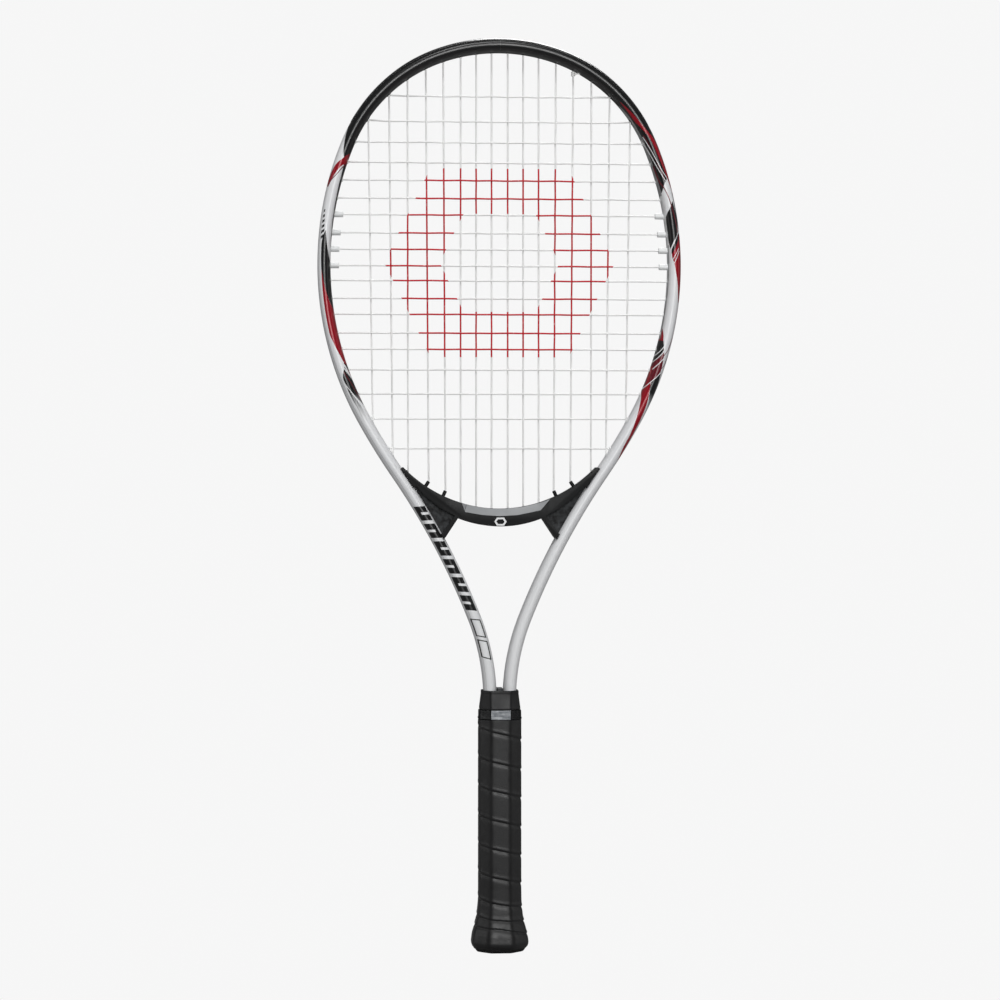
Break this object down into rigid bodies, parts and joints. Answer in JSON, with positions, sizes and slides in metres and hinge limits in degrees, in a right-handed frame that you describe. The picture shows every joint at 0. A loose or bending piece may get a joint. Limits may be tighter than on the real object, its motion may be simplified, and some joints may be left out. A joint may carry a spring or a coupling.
{
  "type": "tennis racket",
  "caption": "Strung oversize tennis racket with an oval hollow frame, moulded throat bridge and wrapped octagonal grip.",
  "frame": {"origin": "centre of the butt end, on the plane of its lowest face", "axes": "+Z from the butt to the tip of the head, +X across the head, the strings lie in the XZ plane and the front face looks along -Y"},
  "size_m": [0.2782, 0.0418, 0.6985],
  "materials": {
    "frame_paint": "gloss enamel in white, black and red",
    "bridge_black": "moulded satin",
    "bumper_black": "moulded satin",
    "grommet_white": "moulded satin",
    "string": "translucent multifilament",
    "pallet": "foamed core with a smooth skin",
    "butt_plastic": "moulded matt",
    "staple_steel": "drawn wire",
    "grip_wrap": "perforated polyurethane tape",
    "tape_silver": "glossy vinyl tape",
    "collar_rubber": "moulded rubber"
  },
  "bodies": {
    "racket": {"frame_tube": "frame_paint", "throat_bridge": "bridge_black", "bumper_guard": "bumper_black", "grommet_strip_left": "grommet_white", "grommet_strip_right": "grommet_white", "bridge_grommet_strip": "bridge_black", "main_string": "string", "cross_string": "string", "pallet_front": "pallet", "pallet_back": "pallet", "shaft_spacer": "pallet", "butt_cap": "butt_plastic", "butt_staple_left": "staple_steel", "butt_staple_right": "staple_steel", "butt_staple_front": "staple_steel", "butt_staple_back": "staple_steel", "grip_wrap": "grip_wrap", "finishing_tape": "tape_silver"},
    "collar": {"collar": "collar_rubber"},
    "butt_plate": {"butt_plate": "butt_plastic"}
  },
  "joints": [
    {"name": "collar_slide", "type": "slide", "parent": "racket", "child": "collar", "axis": [0, 0, 1], "range_m": [0, 0.006]},
    {"name": "butt_plate_pull", "type": "slide", "parent": "racket", "child": "butt_plate", "axis": [0, 0, -1], "range_m": [0, 0.012]}
  ]
}
